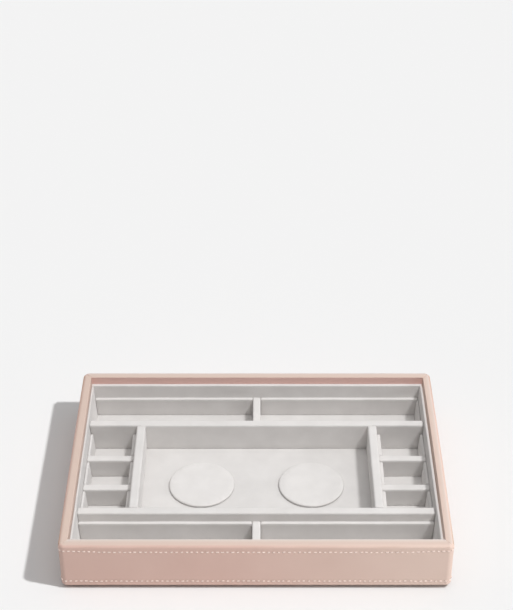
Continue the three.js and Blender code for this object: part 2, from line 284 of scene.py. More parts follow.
def noise(tree, place, size, detail=2.0, stretch=(1.0, 1.0, 1.0)):
    """Noise whose patches are about one size across, in metres, and can be stretched along an axis."""
    mapping = add_node(tree, "ShaderNodeMapping", {"Vector": place, "Scale": stretch})
    texture = add_node(tree, "ShaderNodeTexNoise", {
        "Vector": mapping.outputs["Vector"], "Scale": 1.0 / size, "Detail": detail})
    return texture.outputs["Fac"]


def two_tone(tree, share, first, second):
    """A colour between two tones. The share runs over the middle of the noise, where most of it lies."""
    ramp = add_node(tree, "ShaderNodeValToRGB", {"Fac": share})
    for stop, position, tone in zip(ramp.color_ramp.elements, NOISE_MIDDLE, (first, second)):
        stop.position = position
        stop.color = (*tone, 1.0)
    return ramp.outputs["Color"]


def mix_tones(tree, share, first, second, blend_type="MIX"):
    """Two colours mixed by a share, or blended in another way."""
    node = add_node(tree, "ShaderNodeMixRGB", {"Fac": share, "Color1": first, "Color2": second})
    node.blend_type = blend_type
    return node.outputs["Color"]


def bump(tree, height, depth, strength, under=None):
    """The normal of a relief with a real depth, in metres, on top of another relief if one is given."""
    relief = add_node(tree, "ShaderNodeBump", {"Height": height, "Distance": depth, "Strength": strength})
    if under is not None:
        set_inputs(tree, relief, {"Normal": under})
    return relief.outputs["Normal"]


print("two tones turn over", NOISE_MIDDLE, "of the noise")

# %% Velvet
VELVET_DOWN = (0.750, 0.727, 0.711)
VELVET_UP = (0.800, 0.777, 0.761)
BRUSHED_PATCH = 14 * MM
DENT_WIDTH = 3 * MM
DENT_DEPTH = 0.12 * MM
PILE_WIDTH = 0.35 * MM
PILE_DEPTH = 0.10 * MM
EDGE_BLUR = 0.2 * MM
FACE_FULL = 0.5 * MM
FACE_ENDS = 1.0 * MM
rear_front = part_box("rear_divider")[0].y
column_low, column_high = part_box("right_divider")
column_edge = (column_low.x + column_high.x) / 2


def shade_behind_cells(tree, split, cells_shade_share):
    """A share of painted shade that is lower on the parts of the rear divider's front face that close the
    small cells: beyond the middle of the columns' dividers, and close to that face."""
    outwards = maths(tree, "ABSOLUTE", split.outputs["X"])
    beyond = map_range(tree, outwards, column_edge, column_edge + EDGE_BLUR)
    close = map_range(tree, split.outputs["Y"], rear_front + FACE_ENDS, rear_front + FACE_FULL)
    return map_range(tree, maths(tree, "MULTIPLY", beyond, close), to_min=1.0, to_max=cells_shade_share)


def velvet_finish(name, turning, low_shade_share, cells_shade_share=None):
    """Velvet between two brushed tones, with painted shade: below the heights where it turns it has only a
    share of them, above them all, and behind the small cells a further share if one is given."""
    material, tree, shader, place = start_finish(name)
    brushed = two_tone(tree, noise(tree, place, BRUSHED_PATCH, detail=3.0), VELVET_DOWN, VELVET_UP)
    split = add_node(tree, "ShaderNodeSeparateXYZ", {"Vector": place})
    share = map_range(tree, split.outputs["Z"], *turning, to_min=low_shade_share)
    if cells_shade_share is not None:
        share = maths(tree, "MULTIPLY", share, shade_behind_cells(tree, split, cells_shade_share))
    dents = bump(tree, noise(tree, place, DENT_WIDTH), DENT_DEPTH, strength=0.3)
    set_inputs(tree, shader, {
        "Base Color": mix_tones(tree, 1.0, brushed, share, "MULTIPLY"),
        "Normal": bump(tree, noise(tree, place, PILE_WIDTH), PILE_DEPTH, strength=0.5, under=dents),
        "Roughness": 0.95,
        "Specular IOR Level": 0.1,
        "Sheen Weight": 0.25,
        "Sheen Roughness": 0.45,
    })
    return material


# Heights where the painted shade turns: below them the velvet has only its low share.
OVER_FLOOR = (6.5 * MM, 7.5 * MM)
OVER_RAILS = (18 * MM, 20.2 * MM)
OVER_PAD_FOOT = (6.2 * MM, 7.5 * MM)
velvet = velvet_finish("velvet", OVER_FLOOR, low_shade_share=0.94)
cell_velvet_painted_shade = velvet_finish("cell_velvet_painted_shade", OVER_RAILS, low_shade_share=0.92)
column_velvet_painted_shade = velvet_finish("column_velvet_painted_shade", OVER_RAILS, low_shade_share=0.87)
pad_velvet_painted_shade = velvet_finish("pad_velvet_painted_shade", OVER_PAD_FOOT, low_shade_share=0.72)
rear_velvet_painted_shade = velvet_finish("rear_velvet_painted_shade", OVER_FLOOR, low_shade_share=0.94, cells_shade_share=0.90)
print("velvet tones", VELVET_DOWN, VELVET_UP)

# %% [markdown]
# ## Leatherette
# The wrap is a coated fabric embossed with a fine pebble grain, in matt blush. The grain is a pattern
# of cells about half a millimetre wide with softened edges, which is what a Voronoi texture gives.
# The coat is a little glossier on the high spots, so slow noise varies the roughness too. Over the rim
# it is stretched thin, and its colour carries painted sheen: the height of a point mixes in a paler tone,
# which turns paler still towards the rim's inner edge in front and its outer edge at the back and on the
# right, a painted reflection. A paler, washed tone is painted light towards the right end of the front,
# inside the front and both ends, and a brighter pink is painted light inside the back.

# %% Leatherette
BLUSH_TONES = ((0.690, 0.470, 0.402), (0.715, 0.495, 0.426))
# Painted light: a paler, washed pair of tones and a brighter pink, mixed in by V of the skin's UV map.
PAINTED_WASH_TONES = ((0.708, 0.535, 0.458), (0.733, 0.560, 0.482))
BLUSH_PAINTED_LIGHT = (0.810, 0.535, 0.480, 1.0)
# A paler tone painted on the rim's top as sheen, and a paler one still as painted reflection.
RIM_PAINTED_SHEEN = (0.715, 0.556, 0.478, 1.0)
RIM_PAINTED_REFLECTION = (0.785, 0.720, 0.680, 1.0)
# Heights between which the rim's painted sheen comes in.
SHEEN_FROM = cad_high.z - 0.5 * MM
SHEEN_TO = cad_high.z - 0.12 * MM
BLUSH_PATCH = 30 * MM
PEBBLE_WIDTH = 0.55 * MM
WRINKLE_WIDTH = 2.2 * MM
GRAIN_DEPTH = 0.05 * MM
GLOSS_PATCH = 6 * MM


def leatherette_finish(name):
    """Coated fabric: two blush tones that turn with height to a paler painted sheen, a pebble grain and an
    uneven, half-matt gloss. The skin's own UV map says in U how far the sheen turns to a paler painted
    reflection, and in V how far the blush takes a paler painted wash of light, or -1 where it takes the
    brighter painted light."""
    material, tree, shader, place = start_finish(name)
    along = add_node(tree, "ShaderNodeUVMap")
    along.uv_map = "along"
    painted_light_split = add_node(tree, "ShaderNodeSeparateXYZ", {"Vector": along.outputs["UV"]})
    split = add_node(tree, "ShaderNodeSeparateXYZ", {"Vector": place})
    patches = noise(tree, place, BLUSH_PATCH, detail=3.0)
    plain = two_tone(tree, patches, *BLUSH_TONES)
    painted_wash = two_tone(tree, patches, *PAINTED_WASH_TONES)
    blush = mix_tones(tree, painted_light_split.outputs["Y"], plain, painted_wash)
    skin_tone = mix_tones(tree, map_range(tree, painted_light_split.outputs["Y"], from_max=-1.0), blush, BLUSH_PAINTED_LIGHT)
    rim_sheen_tone = mix_tones(tree, painted_light_split.outputs["X"], RIM_PAINTED_SHEEN, RIM_PAINTED_REFLECTION)
    sheen_share = map_range(tree, split.outputs["Z"], SHEEN_FROM, SHEEN_TO)
    pebbles = add_node(tree, "ShaderNodeTexVoronoi", {"Vector": place, "Scale": 1.0 / PEBBLE_WIDTH})
    pebbles.feature = "SMOOTH_F1"
    pebbles.inputs["Smoothness"].default_value = 0.7
    wrinkles = bump(tree, noise(tree, place, WRINKLE_WIDTH, detail=3.0), GRAIN_DEPTH, strength=0.25)
    set_inputs(tree, shader, {
        "Base Color": mix_tones(tree, sheen_share, skin_tone, rim_sheen_tone),
        "Normal": bump(tree, pebbles.outputs["Distance"], GRAIN_DEPTH, strength=0.35, under=wrinkles),
        "Roughness": map_range(tree, noise(tree, place, GLOSS_PATCH), to_min=0.44, to_max=0.60),
        "Specular IOR Level": 0.4,
    })
    return material


leatherette = leatherette_finish("leatherette")
print("blush tones", BLUSH_TONES, "and on the rim", RIM_PAINTED_SHEEN[:3])

# %% [markdown]
# ## Grids, outlines and pieces
# Most of the tray is a closed outline that changes from level to level: a wall is a long rounded
# rectangle that draws in at its foot and at its top, and the wrap is one large rounded rectangle
# carried along its section. So one walk round a rounded rectangle serves them all. The points come
# as whole arrays, rows by columns, and neighbouring points are joined by quads.

# %% Walk round a rounded rectangle
CORNER_SIGNS = np.array([[1, 1], [-1, 1], [-1, -1], [1, -1]])


def outline_walk(x_steps, y_steps, corner_steps):
    """One lap, counter-clockwise, as columns: the corner left, its angle, the corner ahead, its angle and
    the share of the way between them, which stays 0 on a corner's own arc. Shares along the straights
    are given, so that a side can have finer steps where it needs them."""
    columns = []
    for corner in range(4):
        ahead = (corner + 1) % 4
        turn = np.linspace(0.0, np.pi / 2, corner_steps) + corner * np.pi / 2
        straight = x_steps if corner % 2 == 0 else y_steps
        arc = np.stack([turn * 0 + corner, turn, turn * 0 + corner, turn, turn * 0])
        run = np.stack([straight * 0 + corner, straight * 0 + turn[-1], straight * 0 + ahead,
                        straight * 0 + turn[-1], straight])
        columns += [arc, run]
    return np.concatenate(columns, axis=1)


def outline_points(walk, half_x, half_y, radius):
    """Rounded rectangles, one for each row of half widths. A point is a corner's centre plus the radius in
    the direction of its angle, and along a straight side the two ends are mixed by the share."""
    leaving, leave_angle, nearing, near_angle, share = walk
    radius = np.minimum(radius, np.minimum(half_x, half_y))

    def around(corner, angle):
        signs = CORNER_SIGNS[corner.astype(int)]
        x = signs[:, 0] * (half_x - radius)[:, None] + radius[:, None] * np.cos(angle)
        y = signs[:, 1] * (half_y - radius)[:, None] + radius[:, None] * np.sin(angle)
        return x, y

    x0, y0 = around(leaving, leave_angle)
    x1, y1 = around(nearing, near_angle)
    return x0 + share * (x1 - x0), y0 + share * (y1 - y0)


def even_steps(length, step):
    """Shares of a straight side at even steps of about one length, without its two ends."""
    count = max(2, int(round(length / step)))
    return np.arange(1, count) / count


print("corners in walking order:", CORNER_SIGNS.tolist())

# %% Quads and new pieces
WELD = 0.0005 * MM


def grid_quads(rows, columns, closed_rows=False):
    """Quads of a grid whose point (i, j) is number i * columns + j. Columns always close into a ring, and
    rows do if asked. Rows that climb and columns that run counter-clockwise face outwards."""
    i, j = np.meshgrid(np.arange(rows if closed_rows else rows - 1), np.arange(columns), indexing="ij")
    i_next = (i + 1) % rows
    j_next = (j + 1) % columns
    corners = [i * columns + j, i * columns + j_next, i_next * columns + j_next, i_next * columns + j]
    return np.stack(corners, axis=-1).reshape(-1, 4)


def new_piece(name, points, quads, material, corner_uv=None):
    """A mesh object at the origin from whole arrays, with points that coincide welded together. A UV pair
    for every corner of every quad may come with it."""
    mesh = bpy.data.meshes.new(name)
    mesh.from_pydata(points.reshape(-1, 3).tolist(), [], quads.tolist())
    if corner_uv is not None:
        mesh.uv_layers.new(name="along").data.foreach_set("uv", corner_uv.ravel())
    welded = bmesh.new()
    welded.from_mesh(mesh)
    bmesh.ops.remove_doubles(welded, verts=welded.verts, dist=WELD)
    open_edges = sum(1 for edge in welded.edges if not edge.is_manifold)
    welded.to_mesh(mesh)
    welded.free()
    mesh.shade_smooth()
    mesh.materials.append(material)
    piece = bpy.data.objects.new(name, mesh)
    scene.collection.objects.link(piece)
    tray_pieces.objects.link(piece)
    blocking_pieces.objects.link(piece)
    print(name, len(mesh.polygons), "faces,", open_edges, "open edges")
    return piece


WAVE_COUNT = 5
WAVE_SPREAD = (0.6, 1.6)


def slow_waves(a, b, wavelength, seed):
    """Gentle unevenness between -1 and 1: the mean of a few sine waves that run in seeded directions."""
    draw = np.random.default_rng(seed)
    heading, shift = draw.uniform(0.0, 2 * np.pi, (2, WAVE_COUNT))
    length = wavelength * draw.uniform(*WAVE_SPREAD, WAVE_COUNT)
    along = a[..., None] * np.cos(heading) + b[..., None] * np.sin(heading)
    return np.sin(2 * np.pi * along / length + shift).mean(axis=-1)


print("points closer than", WELD, "m are welded")

# %% [markdown]
# ## The leatherette wrap
# On the real tray one strip of leatherette goes round the box. It is turned under the base, runs up
# the outer face, over the rim and down inside, and it is mitred at the rim's corners. The solids have
# a separate cover for each side. Here one section is carried round a rounded rectangle instead, so
# that the corners are soft and unbroken. The two stitched rows pull the skin in a little, the faces
# between them are a touch hollow, and a shallow groove across each rim corner shows the mitre. In front
# the skin is drawn tight against the board under the rim, so it turns over in a crisper fold there.

# %% Sizes of the wrap
cover_low, cover_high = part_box("front_cover")
board_low, board_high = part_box("front_board")
TRAY_HALF = np.array([(cad_high.x - cad_low.x) / 2, (cad_high.y - cad_low.y) / 2])
SKIN = 0.8 * MM
hem_edge = cover_high.y - cover_low.y
rim_width = (board_high.y - cover_low.y) + (board_low.y - cover_low.y)
CORNER_ROUND = 4.5 * MM
RIM_ROUND = 2.8 * MM
INNER_ROUND = 0.4 * MM
HEM_ROUND = 0.6 * MM
ROUND_STEPS = 9
FACE_STEPS = 40
HEM_STEPS = 5
RIM_STEPS = 6
FINE_UP_TO = 3.2 * MM
FINE_STEP = 0.22 * MM
print("rim is", round(rim_width / MM, 2), "mm wide, hem", round(hem_edge / MM, 2), "mm")

# %% Section of the wrap
def wrap_section():
    """Depth in from the outer face and height, row by row: out along the hem, round it, up the outer face,
    over the rim, down the inner face, and back through the skin's hidden side to the start."""
    turn = np.linspace(0.0, np.pi / 2, ROUND_STEPS)
    low, high = cover_low.z, cover_high.z
    hem = np.linspace(hem_edge, HEM_ROUND, HEM_STEPS)[:-1]
    fine = np.arange(low + HEM_ROUND, low + FINE_UP_TO, FINE_STEP)[1:]
    face = np.concatenate([fine, np.linspace(low + FINE_UP_TO, high - RIM_ROUND, FACE_STEPS)[:-1]])
    top = np.linspace(RIM_ROUND, rim_width - INNER_ROUND, RIM_STEPS)[1:-1]
    inner = np.linspace(high - INNER_ROUND, board_low.z, RIM_STEPS)[1:]
    hidden = np.array([
        [rim_width - SKIN, board_low.z],
        [rim_width - SKIN, high - SKIN],
        [2 * SKIN, high - SKIN],
        [SKIN, high - 2 * SKIN],
        [SKIN, low + SKIN],
        [hem_edge, low + SKIN],
    ])
    depth = np.concatenate([
        hem, HEM_ROUND * (1 - np.sin(turn)), 0 * face, RIM_ROUND * (1 - np.cos(turn)), top,
        rim_width - INNER_ROUND * (1 - np.sin(turn)), 0 * inner + rim_width, hidden[:, 0]])
    height = np.concatenate([
        0 * hem + low, low + HEM_ROUND * (1 - np.cos(turn)), face, high - RIM_ROUND * (1 - np.sin(turn)),
        0 * top + high, high - INNER_ROUND * (1 - np.cos(turn)), inner, hidden[:, 1]])
    return depth, height


section_depth, section_height = wrap_section()
print("section rows:", len(section_depth))

# %% Stitch rows: where they run, and how they pull the skin in
UPPER_ROW = 31.35 * MM
LOWER_ROW = 6.35 * MM
ROW_BOW = 1.1 * MM
BOW_REACH = 14 * MM
PULL_DEPTH = 0.32 * MM
PULL_WIDTH = 1.0 * MM
FACE_HOLLOW = 0.18 * MM
CORNER_CALM = 0.8
CALM_REACH = 6 * MM
HEM_BEAD = cover_low.z + 0.8 * MM
HEM_CREASE = cover_low.z + 2.2 * MM
CREASE_DEPTH = 0.20 * MM
CREASE_WIDTH = 0.55 * MM
END_BOW = 0.4 * MM
RIGHT_GAP = 0.35 * MM
RIGHT_BOW = 0.45 * MM
FRONT_DRAW = 0.6 * MM
BACK_ROLL = 0.35 * MM
FRONT_ROLL = 0.9 * MM
ROLL_REACH = 3 * MM


def to_corner(x, y):
    """Level distance from the nearest upright corner of the tray's box."""
    return np.hypot(TRAY_HALF[0] - np.abs(x), TRAY_HALF[1] - np.abs(y))


def upper_row_height(x, y):
    """The upper row climbs towards the corners: its bow fades with the distance from the nearest one."""
    return UPPER_ROW + ROW_BOW * np.exp(-((to_corner(x, y) / BOW_REACH) ** 2) / 2)


def face_relief(x, y, z):
    """How far the outer face lies behind its outermost level: a dip at each row, a slight hollow between
    them, and a crease above the hem, which is rolled into a bead. Round the corners, where the skin is
    drawn tight, most of it is lost."""
    upper = upper_row_height(x, y)
    dips = np.exp(-(((z - upper) / PULL_WIDTH) ** 2)) + np.exp(-(((z - LOWER_ROW) / PULL_WIDTH) ** 2))
    between = np.clip((z - LOWER_ROW) / (upper - LOWER_ROW), 0.0, 1.0)
    face = PULL_DEPTH * dips + FACE_HOLLOW * np.sin(np.pi * between)
    above_bead = np.clip((z - HEM_BEAD) / (HEM_CREASE - HEM_BEAD), 0.0, 1.0)
    crease = CREASE_DEPTH * np.exp(-(((z - HEM_CREASE) / CREASE_WIDTH) ** 2))
    calm = 1 - CORNER_CALM * np.exp(-((to_corner(x, y) / CALM_REACH) ** 2))
    return calm * (face * above_bead + crease)


def front_draw(z, outward_y):
    """How far the front face is drawn back: by the fourth power of the height, all of it at the rim, and
    less round the corners, as the outward direction turns away from the front."""
    climb = np.clip((z - cover_low.z) / (cover_high.z - cover_low.z), 0.0, 1.0)
    return FRONT_DRAW * climb**4 * np.clip(-outward_y, 0.0, 1.0)


def end_bow(x, y, depth_share):
    """How far an end of the wrap stands out. The outer face comes in towards the corners with the square of
    the distance from the end's middle. On the right the inner face stands off its lining, most in the
    middle, because that wall has bowed out."""
    to_side = (y / TRAY_HALF[1]) ** 2
    inner = (RIGHT_GAP + RIGHT_BOW * (1 - to_side)) * (x > 0)
    return depth_share * inner - (1 - depth_share) * END_BOW * to_side


def rim_roll(y, z, depth_share):
    """How far the skin rolls in over the top of a long side, more at the front: all of it at the rim's
    inner edge, less and less with the depth below it."""
    roll = np.where(y > 0, BACK_ROLL, FRONT_ROLL)
    return roll * depth_share * np.clip(1 - (cover_high.z - z) / ROLL_REACH, 0.0, 1.0) ** 2


print("rows at", UPPER_ROW / MM, "and", LOWER_ROW / MM, "mm")

# %% Carry the section round the tray
WRAP_STEP = 1.3 * MM
WRAP_CORNER_STEPS = 13
SHARPEST_CORNER = 0.12 * MM
ABOVE_HEM = cover_low.z + 0.1 * MM
RIM_FROM = cover_high.z - 0.8 * RIM_ROUND
FACE_WAVES = 38 * MM
RIM_WAVES = 45 * MM
CREASED_FROM = math.radians(60)
MITRE_DEPTH = 0.30 * MM
MITRE_WIDTH = 0.28 * MM
SKIN_WAVES = 0.06 * MM
OUTER_REFLECTION = 0.9
PAINTED_WASH_FROM = -20 * MM
PAINTED_WASH_TO = 100 * MM
side_grades = np.array([0.15, 0.3, 0.5, 0.75, 1.05, 1.5, 2.1, 2.9]) * MM


def graded_steps(length, step):
    """Even steps, with finer ones added near both ends for the corners."""
    near = side_grades / length
    middle = np.linspace(near[-1], 1 - near[-1], int(length / step))[1:-1]
    return np.concatenate([near, middle, 1 - near[::-1]])


def painted_rim_reflection(angle, depth_share):
    """How far the rim's painted reflection pales its tone: by the fourth power of the way to its inner
    edge in front, and by the square of the way to its outer edge, where it pales less, at the back and
    on the right."""
    to_inner = np.clip(-np.sin(angle), 0.0, 1.0)
    to_outer = np.clip(np.maximum(np.cos(angle), np.sin(angle)), 0.0, 1.0)
    return to_inner * depth_share**4 + OUTER_REFLECTION * to_outer * (1 - depth_share) ** 2


def wrap_points():
    """Each row of the section is a rounded rectangle drawn in by the row's depth. The outer face adds its
    relief, the ends bow out, the long sides roll in over the rim, and the rim's top adds the mitre groove,
    which fades with the distance from the diagonal. The shares of the rim's painted reflection and of the
    skin's painted wash of light come with it."""
    straight = 2 * (TRAY_HALF - CORNER_ROUND)
    walk = outline_walk(*(graded_steps(length, WRAP_STEP) for length in straight), WRAP_CORNER_STEPS)
    depth = section_depth[:, None] * np.ones(walk.shape[1])
    height = section_height[:, None] * np.ones(walk.shape[1])
    half_x, half_y = TRAY_HALF[:, None] - section_depth
    radius = np.maximum(CORNER_ROUND - section_depth, SHARPEST_CORNER)
    x, y = outline_points(walk, half_x, half_y, radius)
    on_face = (section_depth < RIM_ROUND) & (section_height > ABOVE_HEM)
    fade = np.where(on_face, np.clip(1 - section_depth / RIM_ROUND, 0.0, 1.0), 0.0)[:, None]
    fade = fade * np.clip((height - cover_low.z) / (2 * HEM_ROUND), 0.0, 1.0)
    waves = SKIN_WAVES * (1 + slow_waves(x + y, height + x - y, FACE_WAVES, seed=3))
    outward_angle = walk[1]
    drawn = np.clip(front_draw(height, np.sin(outward_angle)) - depth, 0.0, None)
    inwards = fade * (face_relief(x, y, height) + waves) + drawn
    depth_share = np.clip(depth / rim_width, 0.0, 1.0)
    x_moved = x - (inwards - end_bow(x, y, depth_share)) * np.cos(outward_angle)
    y_moved = y - (inwards + rim_roll(y, height, depth_share)) * np.sin(outward_angle)
    off_diagonal = (TRAY_HALF[0] - np.abs(x)) - (TRAY_HALF[1] - np.abs(y))
    on_rim = (height > RIM_FROM) & (depth <= rim_width)
    groove = MITRE_DEPTH * np.exp(-((off_diagonal / MITRE_WIDTH) ** 2)) * on_rim
    rim_waves = SKIN_WAVES * (1 + slow_waves(x, y, RIM_WAVES, seed=4)) * on_rim
    points = np.stack([x_moved, y_moved, height - groove - rim_waves], axis=-1)
    # Painted light: the wash grows towards the front and the right end; on the inner face it is 1 at the
    # front and both ends, and -1, for the brighter painted pink, at the back.
    to_front = np.clip((TRAY_HALF[1] - y) / (2 * TRAY_HALF[1]), 0.0, 1.0)
    painted_wash = to_front * np.clip((x - PAINTED_WASH_FROM) / (PAINTED_WASH_TO - PAINTED_WASH_FROM), 0.0, 1.0)
    inner_painted_wash = 1 - 2 * np.clip(np.sin(outward_angle), 0.0, 1.0)
    painted_wash = np.where(depth > rim_width - INNER_ROUND, inner_painted_wash, painted_wash)
    return points, np.stack([painted_rim_reflection(outward_angle, depth_share), painted_wash], axis=-1)


wrap_grid, wrap_painted_light = wrap_points()
wrap_quads = grid_quads(*wrap_grid.shape[:2], closed_rows=True)
painted_light_uv = wrap_painted_light.reshape(-1, 2)[wrap_quads]
wrap = new_piece("leatherette_wrap", wrap_grid, wrap_quads, leatherette, painted_light_uv)
wrap.data.set_sharp_from_angle(angle=CREASED_FROM)
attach(wrap, "root")
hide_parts("front_cover", "back_cover", "left_cover", "right_cover")
skin_pieces.objects.link(wrap)
blocking_pieces.objects.unlink(wrap)

# %% [markdown]
# ## Stitches
# Two rows of running stitch hold the wrap's edges down, with a thread a shade lighter than the skin.
# Each stitch is a short arched length of thread whose ends sink into the skin. There are more than
# five hundred, so one stitch has only a few dozen faces. A path tool could array them, but worked
# out as one array of stitches by rings by sides they follow the corners and vary a little, as real
# stitches do.

# %% Thread finish
THREAD_COLOUR = (0.95, 0.80, 0.73)
THREAD_SHADE = (0.86, 0.69, 0.61)
HOLE_SHADE = (0.30, 0.17, 0.13, 1.0)
HOLE_SHADE_SPAN = (0.62, 0.88)
THREAD_PATCH = 1.2 * MM
TWIST_DEPTH = 0.06 * MM
# A Wave texture has a ridge every two pi tenths, and a stitch shows about four turns of its thread.
WAVE_STEP = 2 * np.pi / 10
TWIST_RIDGES = 2 * WAVE_STEP


def thread_finish(name):
    """Twisted thread: slanted ridges that follow the stitch's own UV map, light on dark. The map's U is 1
    at both ends, where the thread goes down into its hole, and there its colour turns to a painted shade."""
    material, tree, shader, place = start_finish(name)
    along = add_node(tree, "ShaderNodeUVMap")
    along.uv_map = "along"
    split = add_node(tree, "ShaderNodeSeparateXYZ", {"Vector": along.outputs["UV"]})
    # Painted shade: towards both ends the thread's colour turns to the hole's shade.
    hole_shade_share = map_range(tree, maths(tree, "ABSOLUTE", split.outputs["X"]), *HOLE_SHADE_SPAN)
    plain = two_tone(tree, noise(tree, place, THREAD_PATCH), THREAD_SHADE, THREAD_COLOUR)
    twist = add_node(tree, "ShaderNodeMapping", {
        "Vector": along.outputs["UV"], "Scale": (TWIST_RIDGES, WAVE_STEP, 1.0)})
    ridges = add_node(tree, "ShaderNodeTexWave", {"Vector": twist.outputs["Vector"], "Scale": 1.0})
    ridges.bands_direction = "DIAGONAL"
    set_inputs(tree, shader, {
        "Base Color": mix_tones(tree, hole_shade_share, plain, HOLE_SHADE),
        "Normal": bump(tree, ridges.outputs["Fac"], TWIST_DEPTH, strength=0.5),
        "Roughness": 0.6,
        "Sheen Weight": 0.2,
    })
    return material


thread = thread_finish("thread")
print("thread colour", THREAD_COLOUR)

# %% The path that the rows follow
STITCH_PITCH = 3.25 * MM
PATH_STEPS = 4000
PATH_STEP = 0.5 * MM
PATH_CORNER_STEPS = 25


def face_path():
    """The outer face's outline by length: places and outward directions at even steps round the tray."""
    straight = 2 * (TRAY_HALF - CORNER_ROUND)
    walk = outline_walk(*(even_steps(length, PATH_STEP) for length in straight), PATH_CORNER_STEPS)
    corner = np.array([CORNER_ROUND])
    x, y = outline_points(walk, TRAY_HALF[:1], TRAY_HALF[1:], corner)
    x_in, y_in = outline_points(walk, TRAY_HALF[:1] - corner / 2, TRAY_HALF[1:] - corner / 2, corner / 2)
    lap = np.stack([x[0], y[0], x[0] - x_in[0], y[0] - y_in[0]])
    lap = np.concatenate([lap, lap[:, :1]], axis=1)
    length = np.concatenate([[0.0], np.cumsum(np.hypot(*np.diff(lap[:2], axis=1)))])
    even = np.linspace(0.0, length[-1], PATH_STEPS)
    x, y, out_x, out_y = (np.interp(even, length, row) for row in lap)
    size = np.hypot(out_x, out_y)
    return even, x, y, out_x / size, out_y / size


path_length, path_x, path_y, path_out_x, path_out_y = face_path()
stitch_count = int(round(path_length[-1] / STITCH_PITCH))
print("lap", round(path_length[-1] / MM, 1), "mm,", stitch_count, "stitches a row")

# %% Rows of stitches
STITCH_LENGTH = 2.4 * MM
THREAD_RADIUS = 0.46 * MM
STITCH_LIFT = 0.14 * MM
STITCH_SINK = 0.55 * MM
SINK_SPREAD = (0.8, 1.5)
PLACE_SPREAD = 0.14 * MM
LENGTH_SPREAD = 0.10
SLANT = 0.08 * MM
SLANT_SPREAD = 0.10 * MM
HEIGHT_SPREAD = 0.09 * MM
RINGS = 9
SIDES = 6
ring_ways = np.sin(np.linspace(-np.pi / 2, np.pi / 2, RINGS))


def stitch_points(row_height, seed):
    """Stitches by rings by sides. Along a stitch the thread sinks by the fourth power of the way from its
    middle, so that its ends go into the skin, and its radius closes to nothing there."""
    draw = np.random.default_rng(seed)
    each = (stitch_count, 1, 1)
    start = np.arange(stitch_count).reshape(each) * path_length[-1] / stitch_count
    start = start + draw.normal(0.0, PLACE_SPREAD, each)
    length = STITCH_LENGTH * draw.normal(1.0, LENGTH_SPREAD, each)
    slant = draw.normal(SLANT, SLANT_SPREAD, each)
    shift = draw.normal(0.0, HEIGHT_SPREAD, each)
    sink = STITCH_SINK * draw.uniform(*SINK_SPREAD, each)
    way = ring_ways[None, :, None]
    angle = (2 * np.pi * np.arange(SIDES) / SIDES)[None, None, :]
    along = np.mod(start + way * length / 2, path_length[-1])
    x, y, out_x, out_y = (
        np.interp(along, path_length, row) for row in (path_x, path_y, path_out_x, path_out_y))
    radius = THREAD_RADIUS * np.sqrt(np.clip(1 - way**6, 0.0, 1.0))
    z = row_height(x, y) + shift + slant * way
    lift = STITCH_LIFT - sink * way**4 - face_relief(x, y, z) - front_draw(z, out_y) - SKIN_WAVES
    out = lift + radius * np.cos(angle)
    x_moved = x + out_x * (out + end_bow(x, y, 0.0))
    return np.stack([x_moved, y + out_y * out, z + radius * np.sin(angle)], axis=-1)


print("a stitch has", (RINGS - 1) * SIDES, "faces")

# %% A stitch's own map, and both rows as pieces
def stitch_uv():
    """UV pairs for the corners of one stitch's quads: U runs from -1 to 1 along the stitch, and V from 0 to
    1 once round the thread."""
    ring, side = np.meshgrid(np.arange(RINGS - 1), np.arange(SIDES), indexing="ij")
    rings = np.stack([ring, ring, ring + 1, ring + 1], axis=-1).reshape(-1, 4)
    sides = np.stack([side, side + 1, side + 1, side], axis=-1).reshape(-1, 4)
    return np.stack([ring_ways[rings], sides / SIDES], axis=-1)


def stitch_row(name, row_height, seed):
    """One row as a piece. A row runs along the face, so its quads are turned round to face outwards."""
    points = stitch_points(row_height, seed)
    one = grid_quads(RINGS, SIDES)[:, ::-1]
    quads = (one[None] + (RINGS * SIDES) * np.arange(len(points))[:, None, None]).reshape(-1, 4)
    corner_uv = np.tile(stitch_uv()[:, ::-1], (len(points), 1, 1))
    piece = new_piece(name, points, quads, thread, corner_uv)
    skin_pieces.objects.link(piece)
    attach(piece, "root")


stitch_row("upper_stitches", upper_row_height, seed=11)
stitch_row("lower_stitches", lambda x, y: 0 * x + LOWER_ROW, seed=12)

# %% [markdown]
# ## Velvet walls, dividers, partitions and rails
# Each of these is a strip of card with velvet folded over it and glued. The card keeps the faces
# flat, and the folded velvet rounds every edge. A Bevel modifier on a box would round all edges
# alike. Here a rounded rectangle is carried up instead, drawn in near the foot and near the top, so
# that a rail's ends can be rounder than its long edges, and the two sides close along the middle.
# The linings at the two ends lean in towards their feet, so every strip near an end is first made upright
# and then leaned with them.

# %% Lean of the ends
END_LEAN = 1.6 * MM
GLUE = 0.1 * MM
lining_low, lining_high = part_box("right_lining")
room_half = lining_low.x + END_LEAN
frame_half = lining_high.x
ENDS_BEGIN = 100 * MM


def upright_box(node):
    """A solid's box before it leaned. Every outer face at an end stood one glue line off the lining, and
    an inner face there has come in by the whole lean at its foot. The right lining backs up to its wall,
    which stands a little further out."""
    low, high = (np.array(corner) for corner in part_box(node))
    if ENDS_BEGIN < high[0] < frame_half - GLUE:
        high[0] = room_half - GLUE
    if ENDS_BEGIN < -low[0] < frame_half - GLUE:
        low[0] = GLUE - room_half
    if low[0] > ENDS_BEGIN:
        low[0] += END_LEAN
    if high[0] < -ENDS_BEGIN:
        high[0] -= END_LEAN
    if node == "right_lining":
        high[0] += RIGHT_GAP
    return low, high


